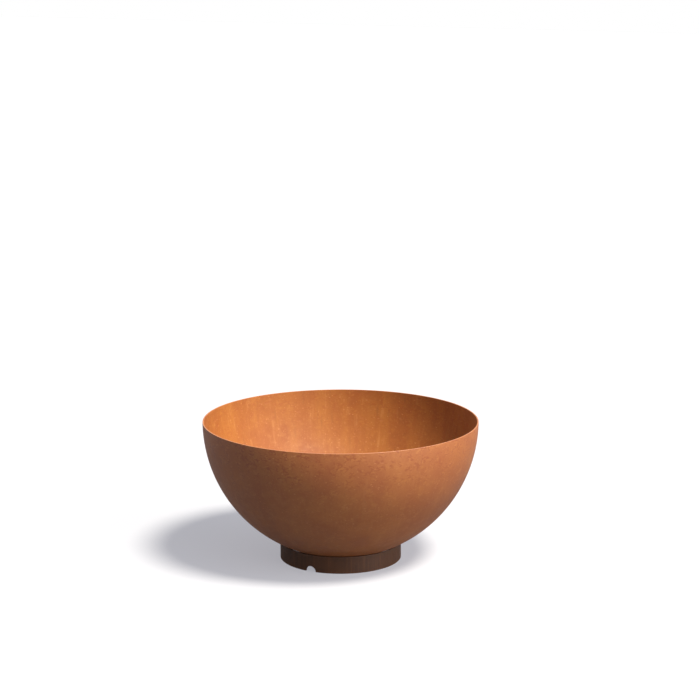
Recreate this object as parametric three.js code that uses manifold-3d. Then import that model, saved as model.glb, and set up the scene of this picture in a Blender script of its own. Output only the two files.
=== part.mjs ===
// A weathering-steel fire bowl: a hemispherical shell that sits loose in a ring foot,
// with a welded round-bar grate that lies inside it and lifts out by two handles.
// Millimetres, +Z up, origin on the ground under the centre of the foot.
import * as THREE from "three";
import { mergeVertices } from "three/addons/utils/BufferGeometryUtils.js";
import Module from "manifold-3d";

const wasm = await Module();
wasm.setup();

// Driving dimensions.

const bowl = {
  radius: 400, // outside of the hemisphere, whose centre is level with the rim
  wall: 4,
  drainRadius: 12.5,
  edgeBreak: 0.6, // corners taken off the cut rim
  groundClearance: 11, // under the lowest point, so that rain can run out
};

const foot = {
  outerRadius: 177, // rolled from flat strip and welded end to end
  wall: 5,
  edgeBreak: 0.5,
  notchRadius: 16, // half-round drain notch in the bottom edge, at the front
};

const grate = {
  ringRadius: 294, // to the middle of the ring's bar
  ringBar: 12, // bar diameters
  crossbarBar: 10,
  rodBar: 8,
  handleBar: 8,
  crossbarOffset: 120, // each crossbar's distance from the middle
  rodsEachSide: 8, // besides the middle rod
  rodToHandle: 6, // free space between the last rod and a handle's leg
  handleWidth: 110, // between the middles of a handle's legs
  handleRise: 60, // grip's middle above the ring's middle
  handleBend: 18, // radius at the middle of the bent bar
};

const TOUCH = 0.3; // between pieces that rest on or are welded to each other

// Fineness of the round shapes.
const TURN_STEPS = 72; // facets round the bowl, the foot and the grate's ring
const ARC_STEPS = 15; // facets from the drain to the rim
const BAR_SIDES = 12;
const HANDLE_STEPS = 40; // along one handle

// Sizes that follow.

const rimHeight = bowl.groundClearance + bowl.radius;
const innerRadius = bowl.radius - bowl.wall;

// How far the middle of a facet lies inside the bowl's round inner wall.
const facetSag =
  innerRadius *
  (1 - Math.cos(Math.PI / TURN_STEPS) * Math.cos(Math.PI / (4 * ARC_STEPS)));

// Height on a sphere about the bowl's centre, at a distance from its axis.
const sphereHeight = (radius, fromAxis) =>
  rimHeight - Math.sqrt(radius ** 2 - fromAxis ** 2);

const footInnerRadius = foot.outerRadius - foot.wall;
const footHeight = sphereHeight(bowl.radius + TOUCH, footInnerRadius);

const ringHeight = sphereHeight(
  innerRadius - facetSag - TOUCH - grate.ringBar / 2,
  grate.ringRadius,
);
const ringTop = ringHeight + grate.ringBar / 2;
const ringInside = grate.ringRadius - grate.ringBar / 2;
const crossbarHeight = ringTop - grate.crossbarBar / 2;
const rodHeight = ringTop + TOUCH + grate.rodBar / 2;

const legRadius = ringInside - TOUCH - grate.handleBar / 2; // legs lap the ring's inside
const handleX = Math.sqrt(legRadius ** 2 - (grate.handleWidth / 2) ** 2);
const lastRodX =
  handleX - grate.handleBar / 2 - grate.rodToHandle - grate.rodBar / 2;
const rodPitch = lastRodX / grate.rodsEachSide;

// Finishes.

const finish = (color, roughness, metalness) =>
  new THREE.MeshStandardMaterial({ color, roughness, metalness });
const orangeRust = finish(0xb4683c, 0.85, 0.1);
const darkRust = finish(0x4a3328, 0.75, 0.2);
const scaledSteel = finish(0x35302d, 0.7, 0.5);

// Helpers.

function piece(name, geometry, material) {
  const mesh = new THREE.Mesh(geometry, material);
  mesh.name = name;
  return mesh;
}

// Points [distance from axis, height] on an arc about the origin, from one angle to
// another, both measured from straight down.
function arc(radius, from, to, steps) {
  return Array.from({ length: steps + 1 }, (_, i) => {
    const angle = from + ((to - from) * i) / steps;
    return [radius * Math.sin(angle), -radius * Math.cos(angle)];
  });
}

// A closed [distance from axis, height] outline turned about the Z axis.
function turned(outline) {
  const closed = [...outline, outline[0]];
  const profile = closed.map(([x, y]) => new THREE.Vector2(x, y));
  return new THREE.LatheGeometry(profile, TURN_STEPS).rotateX(Math.PI / 2);
}

// A straight round bar along Y, centred on the origin.
const straightBar = (diameter, length) =>
  new THREE.CylinderGeometry(diameter / 2, diameter / 2, length, BAR_SIDES);

function solidFrom(geometry) {
  const bare = geometry.index ? geometry.toNonIndexed() : geometry.clone();
  bare.deleteAttribute("normal");
  bare.deleteAttribute("uv");
  const merged = mergeVertices(bare, 1e-4);
  return new wasm.Manifold(
    new wasm.Mesh({
      numProp: 3,
      vertProperties: merged.attributes.position.array,
      triVerts: new Uint32Array(merged.index.array),
    }),
  );
}

function geometryFrom(solid) {
  const mesh = solid.getMesh();
  return new THREE.BufferGeometry()
    .setAttribute("position", new THREE.BufferAttribute(mesh.vertProperties, 3))
    .setIndex(new THREE.BufferAttribute(mesh.triVerts, 1));
}

const cut = (geometry, tool) =>
  geometryFrom(solidFrom(geometry).subtract(solidFrom(tool)));

// The shell: a pressed hemisphere with a drain hole at its lowest point.
function bowlShell() {
  const level = Math.PI / 2;
  const drainOutside = Math.asin(bowl.drainRadius / bowl.radius);
  const drainInside = Math.asin(bowl.drainRadius / innerRadius);
  const breakAngle = bowl.edgeBreak / bowl.radius;
  const outline = [
    ...arc(bowl.radius, drainOutside, level - breakAngle, ARC_STEPS),
    [bowl.radius - bowl.edgeBreak, 0],
    [innerRadius + bowl.edgeBreak, 0],
    ...arc(innerRadius, level - breakAngle, drainInside, ARC_STEPS),
  ];
  const shell = piece("bowl_shell", turned(outline), orangeRust);
  shell.position.z = rimHeight;
  return shell;
}

// The foot: a low ring whose inner top edge carries the bowl.
function footRing() {
  const e = foot.edgeBreak;
  const ring = turned([
    [footInnerRadius, e],
    [footInnerRadius + e, 0],
    [foot.outerRadius - e, 0],
    [foot.outerRadius, e],
    [foot.outerRadius, footHeight - e],
    [foot.outerRadius - e, footHeight],
    [footInnerRadius, footHeight],
  ]);
  const drill = new THREE.CylinderGeometry(
    foot.notchRadius,
    foot.notchRadius,
    foot.wall * 3,
    TURN_STEPS / 2,
  ).translate(0, foot.wall / 2 - foot.outerRadius, 0);
  return piece("foot_ring", cut(ring, drill), darkRust);
}

// A ring of round bar in the grate's plane.
const barRing = (diameter) =>
  new THREE.TorusGeometry(grate.ringRadius, diameter / 2, BAR_SIDES, TURN_STEPS);

function grateRing() {
  const ring = piece("grate_ring", barRing(grate.ringBar), scaledSteel);
  ring.position.z = ringHeight;
  return ring;
}

// A crossbar lies inside the ring, and its ends are shaped to the ring's bar.
function crossbar(name, side) {
  const reach = Math.sqrt(grate.ringRadius ** 2 - grate.crossbarOffset ** 2);
  const bar = straightBar(grate.crossbarBar, 2 * reach)
    .rotateZ(Math.PI / 2)
    .translate(0, side * grate.crossbarOffset, crossbarHeight - ringHeight);
  const shaped = cut(bar, barRing(grate.ringBar + 2 * TOUCH));
  const mesh = piece(name, shaped, scaledSteel);
  mesh.position.z = ringHeight;
  return mesh;
}

// The rods lie on the ring and the crossbars, and end over the middle of the ring's bar.
function rod(index) {
  const x = (index - grate.rodsEachSide) * rodPitch;
  const length = 2 * Math.sqrt(grate.ringRadius ** 2 - x ** 2);
  const number = String(index + 1).padStart(2, "0");
  const bar = straightBar(grate.rodBar, length);
  const mesh = piece(`grate_rod_${number}`, bar, scaledSteel);
  mesh.position.set(x, 0, rodHeight);
  return mesh;
}

// The middle line of a handle in the YZ plane: up one leg, across the grip, down the other.
function handleLine() {
  const y = grate.handleWidth / 2;
  const low = -grate.ringBar / 2; // legs end level with the ring's underside
  const high = grate.handleRise;
  const bend = grate.handleBend;
  const at = (py, pz) => new THREE.Vector3(0, py, pz);
  const line = new THREE.CurvePath();
  const corner = (from, to, tip) => {
    const pull = (point) => point.clone().lerp(tip, 0.5523); // quarter circle as a cubic
    line.add(new THREE.CubicBezierCurve3(from, pull(from), pull(to), to));
  };
  line.add(new THREE.LineCurve3(at(-y, low), at(-y, high - bend)));
  corner(at(-y, high - bend), at(bend - y, high), at(-y, high));
  line.add(new THREE.LineCurve3(at(bend - y, high), at(y - bend, high)));
  corner(at(y - bend, high), at(y, high - bend), at(y, high));
  line.add(new THREE.LineCurve3(at(y, high - bend), at(y, low)));
  return line;
}

function handle(name, side) {
  const section = new THREE.Shape();
  section.absarc(0, 0, grate.handleBar / 2, 0, 2 * Math.PI);
  const bar = new THREE.ExtrudeGeometry(section, {
    steps: HANDLE_STEPS,
    curveSegments: BAR_SIDES / 2, // a circle takes two sides for each
    extrudePath: handleLine(),
  });
  const mesh = piece(name, bar, scaledSteel);
  mesh.position.set(side * handleX, 0, ringHeight);
  return mesh;
}

const firePit = new THREE.Group();
firePit.add(footRing(), bowlShell());

const liftOutGrate = new THREE.Group();
liftOutGrate.add(grateRing());
liftOutGrate.add(crossbar("grate_crossbar_front", -1));
liftOutGrate.add(crossbar("grate_crossbar_back", 1));
for (let i = 0; i <= 2 * grate.rodsEachSide; i += 1) liftOutGrate.add(rod(i));
liftOutGrate.add(handle("grate_handle_left", -1));
liftOutGrate.add(handle("grate_handle_right", 1));
firePit.add(liftOutGrate);

export default firePit;
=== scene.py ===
# %% [markdown]
# # A rusted steel fire bowl with a lift-out grate
# The real object is a pressed hemisphere of weathering steel that lies loose in a low
# ring foot, with a welded grate of round bar deep inside it. This lesson dresses the
# working model of it: every solid of the model stays where it is, and each one gets a
# finer mesh and a finish made of nodes. Everything is in metres, with Z up.

# %% The working model as a fixed frame
import math
import random

import bmesh
import bpy
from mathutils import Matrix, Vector, noise


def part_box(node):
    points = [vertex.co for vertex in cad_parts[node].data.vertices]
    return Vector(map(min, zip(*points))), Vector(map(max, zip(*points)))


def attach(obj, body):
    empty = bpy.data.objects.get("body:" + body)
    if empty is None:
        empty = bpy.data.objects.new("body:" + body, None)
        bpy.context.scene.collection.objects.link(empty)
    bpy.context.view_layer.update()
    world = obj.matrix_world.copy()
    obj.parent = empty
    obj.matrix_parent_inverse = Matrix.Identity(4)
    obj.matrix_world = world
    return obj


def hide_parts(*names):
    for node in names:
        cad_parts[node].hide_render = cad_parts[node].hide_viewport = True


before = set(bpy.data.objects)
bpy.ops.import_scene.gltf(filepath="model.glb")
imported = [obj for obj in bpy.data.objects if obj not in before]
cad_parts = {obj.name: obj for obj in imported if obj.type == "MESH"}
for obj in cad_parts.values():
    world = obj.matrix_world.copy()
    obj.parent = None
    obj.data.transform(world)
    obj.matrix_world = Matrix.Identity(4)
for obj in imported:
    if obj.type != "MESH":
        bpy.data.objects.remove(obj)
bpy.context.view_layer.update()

MM = 0.001

# %% [markdown]
# ## The camera
# A product view is taken from a little above the rim with a long lens, because a long
# lens keeps the bowl's outline a true half circle. The camera could be typed in as a
# place and three angles, but then nobody could tell what they mean. So it is worked out
# from the rim: how far off in rim radii, how high above the rim's level, how far round
# from the drain notch, and how much the view is turned off the rim's centre.

# %% Camera
shell_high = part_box("bowl_shell")[1]
rim_radius = shell_high.x
rim_height = shell_high.z
rim_centre = Vector((0, 0, rim_height))

distance_in_radii = 14.86
camera_round = math.radians(29.3)
camera_above = math.radians(13.5)
aim_below_level = math.radians(11.54)
aim_to_the_right = math.radians(0.256)


def heading(round_from_front, above_level):
    """The direction from the bowl towards a point that far round from -Y and that high."""
    level = math.cos(above_level)
    return Vector(
        (
            math.sin(round_from_front) * level,
            -math.cos(round_from_front) * level,
            math.sin(above_level),
        )
    )


lens = bpy.data.cameras.new("product_camera")
lens.lens = 105.4
camera = bpy.data.objects.new("product_camera", lens)
camera.location = rim_centre + heading(camera_round, camera_above) * rim_radius * distance_in_radii
aim = -heading(camera_round - aim_to_the_right, aim_below_level)
camera.rotation_euler = aim.to_track_quat("-Z", "Y").to_euler()
bpy.context.scene.collection.objects.link(camera)
bpy.context.scene.camera = camera
print("camera", [round(x, 3) for x in camera.location], "lens", lens.lens)

# %% [markdown]
# ## Sums on sockets
# A finish is mostly arithmetic on patterns: take one, scale it, subtract it from one,
# multiply by another. Wired by hand, each sum is a Math node and three links, and the
# idea is lost among them. So one small class wraps a node's output and lets Python's
# own operators add the Math nodes, and one method adds any other node.


# %% Wires and recipes
class Wire:
    """A node's output that can stand in a sum. Each sum adds a Math node."""

    def __init__(self, recipe, socket):
        self.recipe = recipe
        self.socket = socket

    def __add__(self, other):
        return self.recipe.maths("ADD", self, other)

    def __sub__(self, other):
        return self.recipe.maths("SUBTRACT", self, other)

    def __rsub__(self, other):
        return self.recipe.maths("SUBTRACT", other, self)

    def __mul__(self, other):
        return self.recipe.maths("MULTIPLY", self, other)

    __radd__ = __add__
    __rmul__ = __mul__

    def also(self, name):
        """Another output of the same node."""
        return Wire(self.recipe, self.socket.node.outputs[name])


class Recipe:
    """One finish, of a material or of the world, and the one method that adds a node to it."""

    def __init__(self, name, owner=None):
        self.material = owner or bpy.data.materials.new(name)
        self.material.use_nodes = True
        self.tree = self.material.node_tree
        self.tree.nodes.clear()

    def add(self, kind, settings=None, inputs=None):
        node = self.tree.nodes.new(kind)
        for name, value in (settings or {}).items():
            setattr(node, name, value)
        open_sockets = [socket for socket in node.inputs if socket.enabled]
        for key, value in (inputs or {}).items():
            if isinstance(key, int):
                socket = open_sockets[key]
            else:
                socket = next(s for s in open_sockets if s.name == key)
            if isinstance(value, Wire):
                self.tree.links.new(value.socket, socket)
            else:
                socket.default_value = value
        outputs = [socket for socket in node.outputs if socket.enabled]
        return Wire(self, outputs[0]) if outputs else None

    def maths(self, operation, *terms):
        return self.add("ShaderNodeMath", {"operation": operation}, dict(enumerate(terms)))

    def vectors(self, operation, *terms):
        return self.add("ShaderNodeVectorMath", {"operation": operation}, dict(enumerate(terms)))


print("sums on sockets are ready")

# %% [markdown]
# ## Patterns of rust
# Rust is not one noise. It has clouds as wide as a hand, a mottle the size of a
# fingertip, grains under a millimetre, runs where rain went down the wall, and a few
# chips. A painted image would need unwrapping and turns to blur close up. Patterns
# in the piece's own space have neither fault, and their sizes can be written in metres.


# %% Patterns
def cloud(recipe, where, size, detail=3.0, roughness=0.55, warp=0.0):
    """Soft patches about as wide as size, mostly between 0.3 and 0.7."""
    inputs = {
        "Vector": where,
        "Scale": 1.0 / size,
        "Detail": detail,
        "Roughness": roughness,
        "Distortion": warp,
    }
    return recipe.add("ShaderNodeTexNoise", {"noise_dimensions": "3D"}, inputs)


def rise(recipe, value, low, high):
    """0 below low, 1 above high, and smooth between. Falls instead if low is the larger."""
    inputs = {"Value": value, "From Min": low, "From Max": high}
    return recipe.add("ShaderNodeMapRange", {"interpolation_type": "SMOOTHSTEP"}, inputs)


def blend(recipe, share, first, second, how="MIX"):
    """The first colour where share is 0, and the second where it is 1."""
    tint = [c if isinstance(c, Wire) else (*c, 1.0) for c in (first, second)]
    settings = {"data_type": "RGBA", "blend_type": how}
    return recipe.add("ShaderNodeMix", settings, {"Factor": share, "A": tint[0], "B": tint[1]})


def runs(recipe, where, across, down):
    """Streaks down a round wall, across wide at the rim and down long."""
    level = recipe.vectors("MULTIPLY", where, (1.0, 1.0, 0.0))
    outward = recipe.vectors("NORMALIZE", level)
    spread = recipe.add(
        "ShaderNodeVectorMath", {"operation": "SCALE"}, {0: outward, "Scale": rim_radius / across}
    )
    height = recipe.vectors("MULTIPLY", where, (0.0, 0.0, 1.0 / down))
    path = recipe.vectors("ADD", spread, height)
    return cloud(recipe, path, 1.0, detail=2.0, roughness=0.5)


def ragged(recipe, where, reach, size):
    """The same place, pushed about by up to reach, so that round marks become uneven ones."""
    inputs = {"Vector": where, "Scale": 1.0 / size, "Detail": 2.0}
    push = recipe.add("ShaderNodeTexNoise", {"noise_dimensions": "3D"}, inputs).also("Color")
    push = recipe.vectors("SUBTRACT", push, (0.5, 0.5, 0.5))
    push = recipe.vectors("MULTIPLY", push, (2 * reach, 2 * reach, 2 * reach))
    return recipe.vectors("ADD", where, push)


def chips(recipe, where, spacing, size, share):
    """Small scattered marks: 1 in the middle of each mark. Only that share of them is kept."""
    cells = recipe.add(
        "ShaderNodeTexVoronoi", {"feature": "F1"}, {"Vector": where, "Scale": 1.0 / spacing}
    )
    spot = rise(recipe, cells, size / spacing, 0.35 * size / spacing)
    lot = recipe.add("ShaderNodeSeparateColor", None, {"Color": cells.also("Color")})
    return spot * rise(recipe, lot, 1.0 - share, 1.0 - share + 0.02)


def finish_with(recipe, colour, roughness, height, depth, metallic=0.0, specular=0.5, coat=0.0):
    """The shader itself: colour, roughness, a bump of that depth and a dull waxy coat."""
    bump = recipe.add(
        "ShaderNodeBump", None, {"Strength": 1.0, "Distance": depth, "Height": height}
    )
    shader = recipe.add(
        "ShaderNodeBsdfPrincipled",
        None,
        {
            "Base Color": colour,
            "Roughness": roughness,
            "Metallic": metallic,
            "Specular IOR Level": specular,
            "Coat Weight": coat,
            "Coat Roughness": 0.5,
            "Normal": bump,
        },
    )
    recipe.add("ShaderNodeOutputMaterial", None, {"Surface": shader})
    return recipe.material


print("patterns are ready")

# %% [markdown]
# ## The bowl's finish
# Weathering steel first rusts bright orange and then settles to a warm brown. On this
# bowl it has settled evenly, and only rain and handling have marked it. The finish
# needs to know where on the bowl a point lies: how high, how far from the axis, and
# whether it is on the inner wall. The distance from the bowl's centre tells the last,
# so both walls can share one finish and one mesh.

# %% The bowl's colours, and places on it
settled_rust = (0.380, 0.115, 0.022)
red_rust = (0.335, 0.093, 0.019)
young_rust = (0.450, 0.158, 0.030)
# This pale colour is rust for speckle, runs and flecks, and also paints the highlight on the chips'
# lips and the rim's edge.
pale_rust_and_highlight = (0.575, 0.242, 0.084)
dull_rust = (0.190, 0.066, 0.020)
worn_rust = (0.290, 0.067, 0.012)
# Painted shade for the inner wall: a darker, deeper orange multiplier.
inner_shade_tint = (0.92, 0.94, 0.76)
wall = 4 * MM


def places_on_the_bowl(recipe):
    """The point, its height, its distance from the axis, and 1 where it is on the inner wall."""
    where = recipe.add("ShaderNodeTexCoord").also("Object")
    height = recipe.add("ShaderNodeSeparateXYZ", None, {"Vector": where}).also("Z")
    level = recipe.vectors("MULTIPLY", where, (1.0, 1.0, 0.0))
    from_axis = recipe.vectors("LENGTH", level).also("Value")
    from_centre = recipe.vectors("DISTANCE", where, tuple(rim_centre)).also("Value")
    inside = rise(recipe, from_centre, rim_radius - 0.3 * wall, rim_radius - 0.7 * wall)
    return where, height, from_axis, inside


print("bowl colours:", settled_rust, "to", young_rust)

# %% [markdown]
# ### Clouds, runs and grain
# The settled skin is soft clouds of redder and yellower brown with a fine light speckle,
# and faint upright runs that are stronger inside, where rain collects. One colour ramp
# over one noise would give all of them the same size. So the colour is laid on in coats,
# the widest pattern first, and each coat covers only its own share. Last comes painted
# shade: the whole inner wall is multiplied by a darker, deeper orange tint.


# %% Clouds, runs and grain
def settled_colour(recipe, where, from_axis, inside, mottle, grain):
    """The colour of the skin before any chips."""
    clouds = cloud(recipe, where, 0.130, detail=2.0)
    elsewhere = recipe.vectors("ADD", where, (3.0, 1.0, 2.0))
    patches = cloud(recipe, elsewhere, 0.060, detail=3.0, warp=0.6)
    colour = blend(recipe, rise(recipe, clouds, 0.36, 0.66), red_rust, settled_rust)
    colour = blend(recipe, rise(recipe, patches, 0.42, 0.70) * 0.28, colour, young_rust)
    colour = blend(recipe, rise(recipe, mottle, 0.48, 0.70) * 0.42, colour, young_rust)
    colour = blend(recipe, rise(recipe, mottle, 0.50, 0.30) * 0.42, colour, red_rust)

    wide_runs = runs(recipe, where, across=0.055, down=0.50)
    thin_runs = runs(recipe, where, across=0.013, down=0.11)
    off_the_bottom = rise(recipe, from_axis, 0.2 * rim_radius, 0.6 * rim_radius)
    wet = (0.35 + inside * 0.65) * off_the_bottom
    broken = rise(recipe, patches, 0.40, 0.60) * wet
    colour = blend(recipe, rise(recipe, wide_runs, 0.46, 0.62) * wet * 0.38, colour, young_rust)
    colour = blend(recipe, rise(recipe, wide_runs, 0.48, 0.30) * wet * 0.30, colour, red_rust)
    colour = blend(recipe, rise(recipe, thin_runs, 0.55, 0.75) * broken * 0.30, colour, pale_rust_and_highlight)
    colour = blend(recipe, rise(recipe, thin_runs, 0.44, 0.26) * broken * 0.26, colour, dull_rust)

    speckle = 0.44 + inside * 0.22
    colour = blend(recipe, rise(recipe, grain, 0.58, 0.76) * speckle, colour, pale_rust_and_highlight)
    colour = blend(recipe, rise(recipe, grain, 0.42, 0.26) * 0.30, colour, dull_rust)
    # Painted shade: the inner wall is dimmed and turned a deeper orange.
    return blend(recipe, inside * 0.9, colour, inner_shade_tint, how="MULTIPLY")


print("clouds, runs and grain are ready")

# %% [markdown]
# ### Chips, flecks and crescents
# Handling marks the skin with small chips, most of them near the rim. A chip is red
# inside. The pale lip below it is a painted highlight, as if light caught the lower edge
# of a dent: it is the same pattern shifted down a few millimetres. Pale flecks lie
# everywhere. The thin red crescents come from a noise's middle value: where a smooth
# noise crosses 0.5 it draws curved lines, and a second
# pattern keeps only short lengths of them.


# %% Chips, flecks and crescents
def marked_colour(recipe, colour, where, height, inside, mottle):
    """The colour with its small marks, and 1 where there is a chip."""
    near_rim = rise(recipe, height, rim_height - 0.17, rim_height - 0.03)
    often = (0.25 + near_rim * 0.75) * (1.0 - inside * 0.4)
    flattened = recipe.vectors("MULTIPLY", where, (1.0, 1.0, 1.9))
    torn = ragged(recipe, flattened, reach=4 * MM, size=8 * MM)
    below = recipe.vectors("ADD", torn, (0.0, 0.0, 4.5 * MM))
    chip = chips(recipe, torn, spacing=0.032, size=0.0090, share=0.26) * often
    # The pale lip below each chip is a painted highlight: the chip pattern shifted down.
    lip_highlight = chips(recipe, below, spacing=0.032, size=0.0095, share=0.26) * often
    fleck = chips(recipe, torn, spacing=0.013, size=0.0036, share=0.14)
    from_line = recipe.maths("ABSOLUTE", cloud(recipe, torn, 0.019, detail=1.0) - 0.5)
    crescent = rise(recipe, from_line, 0.090, 0.025) * rise(recipe, mottle, 0.47, 0.57) * often

    # Painted highlight: the pale lip under each chip.
    colour = blend(recipe, lip_highlight * 0.30, colour, pale_rust_and_highlight)
    colour = blend(recipe, chip * 0.75, colour, worn_rust)
    colour = blend(recipe, fleck * 0.50, colour, pale_rust_and_highlight)
    return blend(recipe, crescent * 0.85, colour, worn_rust), chip


print("chips, flecks and crescents are ready")

# %% [markdown]
# ### The whole finish
# The cut edge of the rim is smoother and painted a little lighter, partly as wear from
# hands and covers and partly as a painted highlight along the edge.
# The outside has a dull shine, as if it had been waxed, which shows as a grey veil where
# the wall turns away. A coat on the shader gives that. The inside is dry and has none.


# %% The bowl's finish
def rust_of_the_bowl():
    recipe = Recipe("settled_rust")
    where, height, from_axis, inside = places_on_the_bowl(recipe)
    mottle = cloud(recipe, where, 0.020, detail=4.0, roughness=0.6, warp=0.5)
    grain = cloud(recipe, where, 0.0060, detail=3.0, roughness=0.65)
    dust = cloud(recipe, where, 0.0012, detail=2.0)
    colour = settled_colour(recipe, where, from_axis, inside, mottle, grain)
    colour, chip = marked_colour(recipe, colour, where, height, inside, mottle)

    # The rim's cut edge: lighter partly from wear and partly as a painted highlight; smoother from
    # wear.
    worn_and_highlit_edge = rise(recipe, height, rim_height - 1.1 * MM, rim_height - 0.3 * MM)
    colour = blend(recipe, worn_and_highlit_edge * 0.12, colour, pale_rust_and_highlight)
    roughness = 0.62 - rise(recipe, mottle, 0.40, 0.70) * 0.08 - worn_and_highlit_edge * 0.12
    relief = grain * 0.45 + dust * 0.25 + mottle * 0.45 - chip * 0.05
    waxed = 0.6 - inside * 0.6
    return finish_with(
        recipe, colour, roughness, relief, 0.45 * MM, specular=0.45, coat=waxed
    )


settled_rust_finish = rust_of_the_bowl()
print("bowl finish:", len(settled_rust_finish.node_tree.nodes), "nodes")

# %% [markdown]
# ## The foot's finish
# The foot is the same steel, but it stands in the wet under the bowl and has gone a
# dark chocolate brown. What shows on it is fine and upright: run marks from the strip's
# rolling and from rain, with a warmer line of rust along the bottom edge. The strip's
# ends were welded and ground at the back, which leaves a slightly greyer band.

# %% Foot finish
foot_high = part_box("foot_ring")[1]
foot_radius = foot_high.x
foot_height = foot_high.z

chocolate_rust = (0.075, 0.027, 0.0085)
black_rust = (0.053, 0.019, 0.0065)
warm_rust = (0.110, 0.039, 0.012)
ground_steel = (0.125, 0.085, 0.065)


def rust_of_the_foot():
    recipe = Recipe("dark_rust")
    where = recipe.add("ShaderNodeTexCoord").also("Object")
    place = recipe.add("ShaderNodeSeparateXYZ", None, {"Vector": where})
    height = place.also("Z")

    clouds = cloud(recipe, where, 0.060, detail=3.0)
    streaks = runs(recipe, where, 0.016, 0.20)
    grain = cloud(recipe, where, 0.0035, detail=3.0, roughness=0.6)
    dust = cloud(recipe, where, 0.0011, detail=2.0)

    colour = blend(recipe, rise(recipe, clouds, 0.35, 0.65), black_rust, chocolate_rust)
    colour = blend(recipe, rise(recipe, streaks, 0.52, 0.68) * 0.55, colour, warm_rust)
    colour = blend(recipe, rise(recipe, streaks, 0.45, 0.30) * 0.50, colour, black_rust)
    colour = blend(recipe, rise(recipe, grain, 0.58, 0.72) * 0.25, colour, warm_rust)

    splash = rise(recipe, height + clouds * 0.012, 0.016, 0.006)
    colour = blend(recipe, splash * 0.45, colour, warm_rust)
    edge = rise(recipe, height, foot_height - 1.2 * MM, foot_height - 0.3 * MM)
    colour = blend(recipe, edge * 0.35, colour, warm_rust)

    off_seam = recipe.maths("ABSOLUTE", place.also("X"))
    at_back = rise(recipe, place.also("Y"), 0.10, 0.12)
    seam = rise(recipe, off_seam + clouds * 0.004, 0.010, 0.004) * at_back
    colour = blend(recipe, seam * 0.55, colour, ground_steel)

    roughness = 0.62 - rise(recipe, grain, 0.4, 0.7) * 0.08 - seam * 0.08
    relief = grain * 0.5 + dust * 0.3 + streaks * 0.3
    return finish_with(recipe, colour, roughness, relief, 0.3 * MM, specular=0.4)


dark_rust_finish = rust_of_the_foot()
print("foot finish:", len(dark_rust_finish.node_tree.nodes), "nodes")

# %% [markdown]
# ## The grate's finish
# Hot-rolled round bar comes from the mill with a blue-black skin of scale. On a grate
# that stands in the open, the skin holds on the bars and breaks at the welds, where the
# heat burnt it off, so that is where rust starts. The welds lie over the ring and over
# the two crossbars, and the distance to those three lines says where to put the rust.

# %% Grate finishes
ring_low, ring_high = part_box("grate_ring")
ring_bar = ring_high.z - ring_low.z
ring_radius = ring_high.x - ring_bar / 2
ring_level = (ring_high.z + ring_low.z) / 2
cross_low, cross_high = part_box("grate_crossbar_back")
cross_bar = cross_high.z - cross_low.z
cross_offset = (cross_high.y + cross_low.y) / 2

mill_scale = (0.052, 0.048, 0.047)
brown_scale = (0.105, 0.070, 0.052)
first_rust = (0.340, 0.140, 0.055)
weld_grey = (0.200, 0.175, 0.155)


def scale_of_the_bars():
    recipe = Recipe("mill_scale")
    where = recipe.add("ShaderNodeTexCoord").also("Object")
    place = recipe.add("ShaderNodeSeparateXYZ", None, {"Vector": where})
    level = recipe.vectors("MULTIPLY", where, (1.0, 1.0, 0.0))
    from_axis = recipe.vectors("LENGTH", level).also("Value")
    to_ring = recipe.maths("ABSOLUTE", from_axis - ring_radius)
    to_crossbar = recipe.maths("ABSOLUTE", recipe.maths("ABSOLUTE", place.also("Y")) - cross_offset)
    to_weld = recipe.maths("MINIMUM", to_ring, to_crossbar)

    clouds = cloud(recipe, where, 0.030, detail=4.0, roughness=0.6)
    grain = cloud(recipe, where, 0.0030, detail=3.0, roughness=0.6)
    heat = rise(recipe, to_weld + clouds * 0.020, 0.030, 0.012)
    rust = rise(recipe, grain * 0.5 + clouds * 0.5 + heat * 0.16, 0.54, 0.68)

    colour = blend(recipe, rise(recipe, clouds, 0.38, 0.62), mill_scale, brown_scale)
    colour = blend(recipe, rust * 0.80, colour, first_rust)
    roughness = 0.48 + rust * 0.32
    metallic = 0.55 - rust * 0.50
    relief = grain * 0.5 + rust * 0.5
    return finish_with(recipe, colour, roughness, relief, 0.25 * MM, metallic)


def metal_of_the_welds():
    recipe = Recipe("weld_metal")
    where = recipe.add("ShaderNodeTexCoord").also("Object")
    clouds = cloud(recipe, where, 0.009, detail=3.0)
    grain = cloud(recipe, where, 0.0016, detail=2.0)
    rust = rise(recipe, clouds, 0.46, 0.60)
    colour = blend(recipe, rise(recipe, grain, 0.4, 0.7), brown_scale, weld_grey)
    colour = blend(recipe, rust * 0.75, colour, first_rust)
    roughness = 0.42 + rust * 0.35
    metallic = 0.70 - rust * 0.60
    return finish_with(recipe, colour, roughness, grain + rust * 0.4, 0.2 * MM, metallic)


mill_scale_finish = scale_of_the_bars()
weld_finish = metal_of_the_welds()
print("grate finishes:", mill_scale_finish.name, weld_finish.name)

# %% [markdown]
# ## Shapes turned about an axis
# The bowl is round, so its mesh is one outline turned about the upright axis. Blender's
# Screw modifier does that too, but an outline written as arcs keeps the corners of the
# cut rim under control, and lets the rim, the wall and the drain hole share one loop.


# %% Meshes
def make_piece(name, points, faces, finish, body, node, slot):
    """A smooth-shaded piece that rides on a body and stands for one solid of the model."""
    mesh = bpy.data.meshes.new(name)
    mesh.from_pydata([tuple(p) for p in points], [], faces)
    tidy = bmesh.new()
    tidy.from_mesh(mesh)
    bmesh.ops.recalc_face_normals(tidy, faces=tidy.faces)
    tidy.to_mesh(mesh)
    tidy.free()
    mesh.shade_smooth()
    mesh.set_sharp_from_angle(angle=math.radians(40))
    mesh.materials.append(finish)
    piece = bpy.data.objects.new(name, mesh)
    bpy.context.scene.collection.objects.link(piece)
    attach(piece, body)
    if node:
        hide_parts(node)
    return piece


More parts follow.
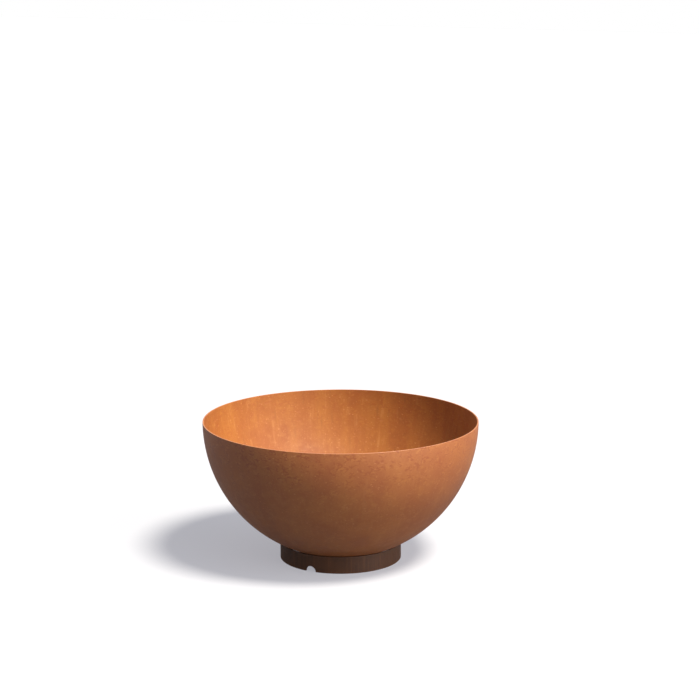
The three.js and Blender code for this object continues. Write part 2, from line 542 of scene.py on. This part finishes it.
def arc(centre, radius, start, end, steps):
    """Points [from axis, height] on an arc. Angles are in degrees from straight outward."""
    turn = [math.radians(start + (end - start) * i / steps) for i in range(steps + 1)]
    return [(centre[0] + radius * math.cos(a), centre[1] + radius * math.sin(a)) for a in turn]


def turned(outline, steps):
    """The points and faces of a closed outline turned about Z."""
    points = []
    for i in range(steps):
        a = 2 * math.pi * i / steps
        points += [Vector((r * math.cos(a), r * math.sin(a), z)) for r, z in outline]
    count = len(outline)
    faces = []
    for i in range(steps):
        here, there = i * count, (i + 1) % steps * count
        for j in range(count):
            k = (j + 1) % count
            faces.append((here + j, there + j, there + k, here + k))
    return points, faces


print("turning is ready")

# %% [markdown]
# ## The bowl
# The shell is pressed from one 4 mm plate, then cut level at the rim and drilled at its
# lowest point. The edges of both cuts are only just broken with a file. A pressed shell
# is never quite true either, so the wall gets waves of a fraction of a millimetre: too
# small to see in the outline, but they keep the light on it from looking turned. They
# fade out lower down, where the shell has to meet the foot.

# %% Bowl mesh
drain_radius = 12.5 * MM
filed_edge = 0.7 * MM
wave_depth = 0.35 * MM
waves_from = 100 * MM
waves_full = 220 * MM
inner_radius = rim_radius - wall
around_steps = 256
wall_steps = 96


def bowl_outline():
    hole_angle = math.degrees(math.asin((drain_radius + filed_edge) / rim_radius))
    edge_angle = math.degrees(filed_edge / rim_radius)
    centre = (0.0, rim_height)
    top = rim_height - filed_edge
    below = rim_height - math.sqrt(rim_radius**2 - (drain_radius + filed_edge) ** 2)
    above = rim_height - math.sqrt(inner_radius**2 - (drain_radius + filed_edge) ** 2)
    hole = drain_radius + filed_edge
    return [
        *arc(centre, rim_radius, hole_angle - 90, -edge_angle, wall_steps),
        *arc((rim_radius - filed_edge, top), filed_edge, 0, 90, 4),
        *arc((inner_radius + filed_edge, top), filed_edge, 90, 180, 4),
        *arc(centre, inner_radius, -edge_angle, hole_angle - 90, wall_steps),
        *arc((hole, above - filed_edge), filed_edge, 105, 180, 3),
        *arc((hole, below + filed_edge), filed_edge, 180, 255, 3),
    ]


def waved(point):
    """The point moved in or out by the pressing's slight waves."""
    fade = min(1.0, max(0.0, (point.z - waves_from) / (waves_full - waves_from)))
    wave = noise.noise(point * 6.0) + 0.4 * noise.noise(point * 19.0)
    outward = (point - rim_centre).normalized()
    return point + outward * wave * wave_depth * fade


points, faces = turned(bowl_outline(), around_steps)
points = [waved(p) for p in points]
bowl = make_piece("bowl", points, faces, settled_rust_finish, "bowl", "bowl_shell", "bowl_rust")
print("bowl:", len(bowl.data.polygons), "faces")

# %% [markdown]
# ## The foot
# A smith makes this ring from flat strip: punch the half-round notch in one edge, break
# the edges, roll the strip up and weld its ends together. The mesh is made in the same
# order. A flat sheet of faces with a neat fan of them round the notch is easy to bevel,
# and rolling it up afterwards is one line of arithmetic. A boolean cut would do it as
# well, but it leaves long thin triangles that spoil the bevel.

# %% Foot mesh
strip = 5 * MM
notch_radius = 16 * MM
notch_field = 34 * MM
broken_edge = 0.6 * MM
rows = 24
weld_half_width = 3 * MM
weld_height = 0.35 * MM
ripple_pitch = 2.6 * MM
rolled_radius = foot_radius - strip / 2
half_length = math.pi * rolled_radius


def strip_columns():
    """Places along the strip, from beside the notch to the welded end, finer near the end."""
    fine_from = half_length - 12 * MM
    coarse, fine = 170, 24
    columns = [notch_field + (fine_from - notch_field) * i / coarse for i in range(coarse)]
    return columns + [fine_from + (half_length - fine_from) * i / fine for i in range(fine + 1)]


def flat_patches():
    """Grids of [along, up] points that together make one side of the flat strip."""
    levels = [foot_height * i / rows for i in range(rows + 1)]
    plain = [[(u, z) for z in levels] for u in strip_columns()]
    across = 20
    fan_steps = 8
    border = [(notch_field, z) for z in levels]
    border += [(notch_field * (1 - 2 * i / across), foot_height) for i in range(1, across)]
    border += [(-notch_field, z) for z in reversed(levels)]
    fan = []
    for i, (u, z) in enumerate(border):
        a = math.pi * i / (len(border) - 1)
        start = (notch_radius * math.cos(a), notch_radius * math.sin(a))
        shares = [(k / fan_steps) ** 1.3 for k in range(fan_steps + 1)]
        fan.append([(start[0] + (u - start[0]) * s, start[1] + (z - start[1]) * s) for s in shares])
    mirrored = [[(-u, z) for u, z in column] for column in plain]
    return [plain, fan, mirrored]


def rolled(point):
    """A point of the flat strip (along, outward, up) after rolling, notch to the front."""
    along, outward, up = point
    to_weld = half_length - abs(along)
    if to_weld < weld_half_width:
        crown = 1 - (to_weld / weld_half_width) ** 2
        ripple = 0.75 + 0.25 * math.sin(up * 2 * math.pi / ripple_pitch)
        outward += math.copysign(weld_height * crown * ripple, outward)
    angle = along / rolled_radius
    radius = rolled_radius + outward
    return Vector((radius * math.sin(angle), -radius * math.cos(angle), up))


def make_foot():
    flat = bmesh.new()
    for side in (strip / 2, -strip / 2):
        for patch in flat_patches():
            grid = [[flat.verts.new((u, side, z)) for u, z in column] for column in patch]
            for near, far in zip(grid, grid[1:]):
                for j in range(len(near) - 1):
                    flat.faces.new((near[j], far[j], far[j + 1], near[j + 1]))
    bmesh.ops.remove_doubles(flat, verts=flat.verts, dist=0.01 * MM)
    rims = [
        edge
        for edge in flat.edges
        if edge.is_boundary and abs(edge.verts[0].co.x + edge.verts[1].co.x) < 2 * half_length - MM
    ]
    bmesh.ops.bridge_loops(flat, edges=rims)
    bmesh.ops.recalc_face_normals(flat, faces=flat.faces)
    sharp = [
        edge
        for edge in flat.edges
        if len(edge.link_faces) == 2 and edge.calc_face_angle() > math.radians(60)
    ]
    bmesh.ops.bevel(
        flat, geom=sharp, offset=broken_edge, segments=3, profile=0.5, affect="EDGES"
    )
    for vertex in flat.verts:
        vertex.co = rolled(vertex.co)
    bmesh.ops.remove_doubles(flat, verts=flat.verts, dist=0.02 * MM)
    flat.verts.index_update()
    points = [vertex.co.copy() for vertex in flat.verts]
    faces = [tuple(vertex.index for vertex in face.verts) for face in flat.faces]
    flat.free()
    return points, faces


points, faces = make_foot()
foot = make_piece("foot", points, faces, dark_rust_finish, "foot", "foot_ring", "foot_rust")
print("foot:", len(foot.data.polygons), "faces")

# %% [markdown]
# ## The grate's bars
# Every bar of the grate is a round section carried along a line: a circle for the ring,
# straight lines for the rods and crossbars, and a bent line for each handle. A curve
# with a bevel makes such a bar quickly, but its ends are flat and knife-sharp. Carrying
# the section in code lets each end close down over its last millimetre, as a sheared
# and filed bar does.

# %% Bars
bar_sides = 24


def bar(line, radii, closed=False, sides=bar_sides):
    """The points and faces of a round bar whose radius is given at each point of its line."""
    count = len(line)
    points = []
    across = None
    for i, here in enumerate(line):
        before = line[i - 1] if i or closed else here
        after = line[(i + 1) % count] if i < count - 1 or closed else here
        along = (after - before).normalized()
        if across is None:
            across = along.orthogonal().normalized()
        across = (across - along * across.dot(along)).normalized()
        side = along.cross(across)
        for k in range(sides):
            a = 2 * math.pi * k / sides
            points.append(here + (across * math.cos(a) + side * math.sin(a)) * radii[i])
    faces = []
    for i in range(count if closed else count - 1):
        here, there = i * sides, (i + 1) % count * sides
        for k in range(sides):
            m = (k + 1) % sides
            faces.append((here + k, here + m, there + m, there + k))
    if not closed:
        faces.append(tuple(range(sides)))
        faces.append(tuple(range((count - 1) * sides, count * sides)))
    return points, faces


def straight(start, end, radius):
    """A straight bar with filed ends."""
    file_off = 0.9 * MM
    along = (end - start).normalized()
    length = (end - start).length
    steps = 12
    places = [0.0, 0.3 * file_off, file_off]
    places += [length * i / steps for i in range(1, steps)]
    places += [length - file_off, length - 0.3 * file_off, length]
    trims = [file_off, 0.35 * file_off, 0.0]
    trims += [0.0] * (steps - 1) + trims[::-1]
    return bar([start + along * p for p in places], [radius - t for t in trims])


def grate_piece(name, shape, node, finish=mill_scale_finish):
    return make_piece(name, *shape, finish, "grate", node, "grate_steel")


ring_steps = 240
ring_line = []
for i in range(ring_steps):
    a = 2 * math.pi * i / ring_steps
    ring_line.append(Vector((ring_radius * math.cos(a), ring_radius * math.sin(a), ring_level)))
ring_shape = bar(ring_line, [ring_bar / 2] * ring_steps, closed=True)
grate_piece("ring_of_the_grate", ring_shape, "grate_ring")

for name in ("front", "back"):
    low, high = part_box(f"grate_crossbar_{name}")
    middle = (low + high) / 2
    ends = [Vector((x, middle.y, middle.z)) for x in (low.x, high.x)]
    grate_piece(f"crossbar_{name}", straight(*ends, cross_bar / 2), f"grate_crossbar_{name}")

rod_nodes = sorted(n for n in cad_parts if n.startswith("grate_rod_"))
rod_middles = []
for node in rod_nodes:
    low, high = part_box(node)
    middle = (low + high) / 2
    rod_middles.append(middle)
    rod_bar = high.z - low.z
    ends = [Vector((middle.x, y, middle.z)) for y in (low.y, high.y)]
    grate_piece(node.replace("grate_", ""), straight(*ends, rod_bar / 2), node)
print("rods:", len(rod_nodes), "of", round(rod_bar / MM, 1), "mm bar")

# %% [markdown]
# ## The handles
# Each handle is one bar bent cold over a former: two legs, two round corners and a grip
# wide enough for a gloved hand. Its line is two quarter circles with straight runs
# between them.

# %% Handles
bend_radius = 18 * MM
bend_steps = 12
leg_places = []
for name in ("left", "right"):
    node = f"grate_handle_{name}"
    low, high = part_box(node)
    thick = (high.x - low.x) / 2
    x = (low.x + high.x) / 2
    leg = high.y - thick
    grip = high.z - thick
    corner = arc((leg - bend_radius, grip - bend_radius), bend_radius, 0, 90, bend_steps)
    half = [(leg, low.z), (leg, low.z + 0.3 * MM), (leg, low.z + 0.9 * MM), *corner]
    outline = half + [(-y, z) for y, z in reversed(half)]
    trims = [0.9 * MM, 0.3 * MM] + [0.0] * (len(outline) - 4) + [0.3 * MM, 0.9 * MM]
    line = [Vector((x, y, z)) for y, z in outline]
    grate_piece(f"handle_{name}", bar(line, [thick - t for t in trims]), node)
    leg_places += [Vector((x, leg, 0)), Vector((x, -leg, 0))]
print("handle grip", round(2 * leg / MM), "mm wide")

# %% [markdown]
# ## The welds
# Bars that cross touch in one point, so a welder runs a short bead down each side of the
# upper bar, in the crease between the two. A crossbar's end gets a bead all round. Each
# bead is a bar like the others, with a thickness that swells and ripples along it, and
# all of them are joined in one piece, because nobody takes a weld off by itself.

# %% Welds
chance = random.Random(7)
bead_radius = 2.7 * MM
bead_length = 10 * MM
weld_points = []
weld_faces = []


def lay_bead(line, radius, closed=False):
    """Adds a rippled bead along a line to the one mesh of all the welds."""
    count = len(line)
    radii = []
    for i in range(count):
        t = i / (count - 1)
        swell = 1.0 if closed else max(0.12, 1 - abs(2 * t - 1) ** 3)
        ripple = 1.0 + 0.10 * math.sin(i * 2.1) + chance.uniform(-0.05, 0.05)
        radii.append(radius * swell * ripple)
    points, faces = bar(line, radii, closed, sides=10)
    start = len(weld_points)
    weld_points.extend(points)
    weld_faces.extend(tuple(start + k for k in face) for face in faces)


def short_line(middle, along, length, steps=12):
    wander = [chance.uniform(-0.15, 0.15) * MM for _ in range(steps + 1)]
    return [
        middle + along * length * (i / steps - 0.5) + Vector((0, 0, wander[i]))
        for i in range(steps + 1)
    ]


def weld_crossing(x, y, contact, upper):
    """Two beads along Y, one on each side of a bar of that radius that lies over another."""
    for side in (-1, 1):
        middle = Vector((x + side * upper * 0.86, y, contact + 1.0 * MM))
        length = bead_length * chance.uniform(0.85, 1.15)
        lay_bead(short_line(middle, Vector((0, 1, 0)), length), bead_radius)


for middle in rod_middles:
    reach = math.sqrt(ring_radius**2 - middle.x**2)
    inset = 1.5 * MM
    for y in (reach - inset, inset - reach):
        weld_crossing(middle.x, y, ring_high.z, rod_bar / 2)
    for y in (cross_offset, -cross_offset):
        weld_crossing(middle.x, y, cross_high.z, rod_bar / 2)

print("welds so far:", len(weld_faces), "faces")

# %% Welds at the crossbars' ends and the handles' legs
cross_level = (cross_high.z + cross_low.z) / 2
for y in (cross_offset, -cross_offset):
    for side in (-1, 1):
        touch = math.sqrt((ring_radius - ring_bar / 2) ** 2 - y**2)
        outward = Vector((side * touch, y, 0)).normalized()
        aside = Vector((-outward.y, outward.x, 0))
        middle = Vector((side * touch, y, cross_level)) - outward * 0.5 * MM
        loop = []
        for i in range(28):
            a = 2 * math.pi * i / 28
            turn = aside * math.cos(a) + Vector((0, 0, math.sin(a)))
            loop.append(middle + turn * (cross_bar / 2 + 0.6 * MM))
        lay_bead(loop, bead_radius * 0.75, closed=True)

for place in leg_places:
    outward = Vector((place.x, place.y, 0)).normalized()
    aside = Vector((-outward.y, outward.x, 0))
    touch = outward * (ring_radius - ring_bar / 2)
    for side in (-1, 1):
        middle = touch + aside * side * 3.4 * MM + Vector((0, 0, ring_level))
        lay_bead(short_line(middle, Vector((0, 0, 1)), bead_length), bead_radius)

seam = Vector((0, ring_radius, ring_level))
collar = []
for i in range(36):
    a = 2 * math.pi * i / 36
    collar.append(seam + Vector((0, math.cos(a), math.sin(a))) * (ring_bar / 2 - 0.2 * MM))
lay_bead(collar, 1.3 * MM, closed=True)

grate_piece("welds_of_the_grate", (weld_points, weld_faces), None, weld_finish)
print("welds:", len(weld_faces), "faces in one piece")

# %% [markdown]
# ## The floor
# The bowl stands on a plain white floor. In a real studio the floor is lit past white
# and its shadows stay a soft grey, but a floor as bright as that would throw too much
# light up at the bowl. So there are two planes. The upper one is only seen: it takes the
# shadow and glows a little, so that the shadow stays grey and the rest turns white. The
# lower one, a millimetre below, is hidden from the camera and only bounces light. The
# glow would shine up through the drain hole, so an Ambient Occlusion node turns it off
# there for as long as the bowl stands close above.

# %% Floors
floor_size = 60.0
no_colour = (0.0, 0.0, 0.0)
seen_white = (0.34, 0.34, 0.34)
shadow_glow = 0.360
shadow_tint = (0.99, 0.98, 1.06)
bounce_white = (0.70, 0.715, 0.74)
close_above = 60 * MM
beside_the_drain = 50 * MM
past_the_drain = 90 * MM


def floor_finish(name, colour, glow=0.0, glow_colour=(1.0, 1.0, 1.0)):
    """A plain matt floor. Its glow stops where the bowl is close above, seen by the drain hole."""
    recipe = Recipe(name)
    where = recipe.add("ShaderNodeTexCoord").also("Object")
    haze = cloud(recipe, where, 0.8, detail=2.0)
    share = rise(recipe, haze, 0.3, 0.7)
    shade = blend(recipe, share, colour, [c * 0.99 for c in colour])
    from_axis = recipe.vectors("LENGTH", where).also("Value")
    free = recipe.add("ShaderNodeAmbientOcclusion", None, {"Distance": close_above}).also("AO")
    near_the_drain = rise(recipe, from_axis, past_the_drain, beside_the_drain)
    open_floor = 1 - rise(recipe, free, 0.95, 0.60) * near_the_drain
    inputs = {
        "Base Color": shade,
        "Roughness": 0.9,
        "Specular IOR Level": 0.0,
        "Emission Color": blend(recipe, open_floor, no_colour, glow_colour),
        "Emission Strength": glow,
    }
    shader = recipe.add("ShaderNodeBsdfPrincipled", None, inputs)
    recipe.add("ShaderNodeOutputMaterial", None, {"Surface": shader})
    return recipe.material


def make_floor(name, level, finish):
    h = floor_size / 2
    mesh = bpy.data.meshes.new(name)
    corners = [(-h, -h, level), (h, -h, level), (h, h, level), (-h, h, level)]
    mesh.from_pydata(corners, [], [(0, 1, 2, 3)])
    mesh.materials.append(finish)
    floor = bpy.data.objects.new(name, mesh)
    bpy.context.scene.collection.objects.link(floor)
    return floor


seen_finish = floor_finish("white_floor", seen_white, shadow_glow, shadow_tint)
floor = make_floor("floor", 0.0, seen_finish)
floor.visible_diffuse = False
floor.visible_glossy = False
under_floor = make_floor("bounce_floor", -1 * MM, floor_finish("pale_floor", bounce_white))
under_floor.visible_camera = False
print("floors:", floor.name, under_floor.name)

# %% [markdown]
# ## The lights
# One soft light stands high at the right and a little in front, so the inside is
# brightest on the left and the outside on the right, and its shadow falls to the left.
# A second, much wider one stands low on the same side and opens up the outside. Distant
# lights are used and not lamps close by, because they light a wide floor evenly.


# %% Lights
def soft_light(name, to_the_right, above, strength, colour, width):
    """A distant soft light, so far to the right of the camera. Width is the angle it spans."""
    light = bpy.data.lights.new(name, "SUN")
    light.energy = strength
    light.color = colour
    light.angle = math.radians(width)
    lamp = bpy.data.objects.new(name, light)
    direction = heading(camera_round + math.radians(to_the_right), math.radians(above))
    lamp.rotation_euler = direction.to_track_quat("Z", "Y").to_euler()
    bpy.context.scene.collection.objects.link(lamp)
    return lamp


high_key = soft_light(
    "high_key", to_the_right=51, above=61, strength=6.0, colour=(1.0, 0.965, 0.91), width=16
)
low_side = soft_light(
    "low_side_light", to_the_right=61, above=13, strength=2.9, colour=(0.98, 1.0, 1.05), width=60
)
print("lights:", high_key.name, low_side.name)

# %% [markdown]
# ## The surroundings
# The sky is a pale cool fill. Two kinds of ray see it differently: a white studio's
# walls show bright in a reflection, and the backdrop behind the bowl is plain white.
# One strength for all three would either flood the shadows or turn the backdrop grey,
# so a Light Path node picks among three backgrounds.

# %% Surroundings
world = Recipe("studio", bpy.data.worlds.new("studio"))


def surroundings(colour, strength):
    inputs = {"Color": (*colour, 1.0), "Strength": strength}
    return world.add("ShaderNodeBackground", None, inputs)


fill = surroundings((0.90, 0.98, 1.12), 0.30)
studio_walls = surroundings((1.0, 1.0, 1.0), 0.9)
backdrop = surroundings((1.0, 1.0, 1.0), 1.0)
seen_directly = world.add("ShaderNodeLightPath")
reflected = seen_directly.also("Is Glossy Ray")
lit = world.add("ShaderNodeMixShader", None, {0: reflected, 1: fill, 2: studio_walls})
surface = world.add("ShaderNodeMixShader", None, {0: seen_directly, 1: lit, 2: backdrop})
world.add("ShaderNodeOutputWorld", None, {"Surface": surface})
bpy.context.scene.world = world.material
bpy.context.scene.view_settings.view_transform = "Standard"
print("stage is set:", len(world.tree.nodes), "nodes in the surroundings")
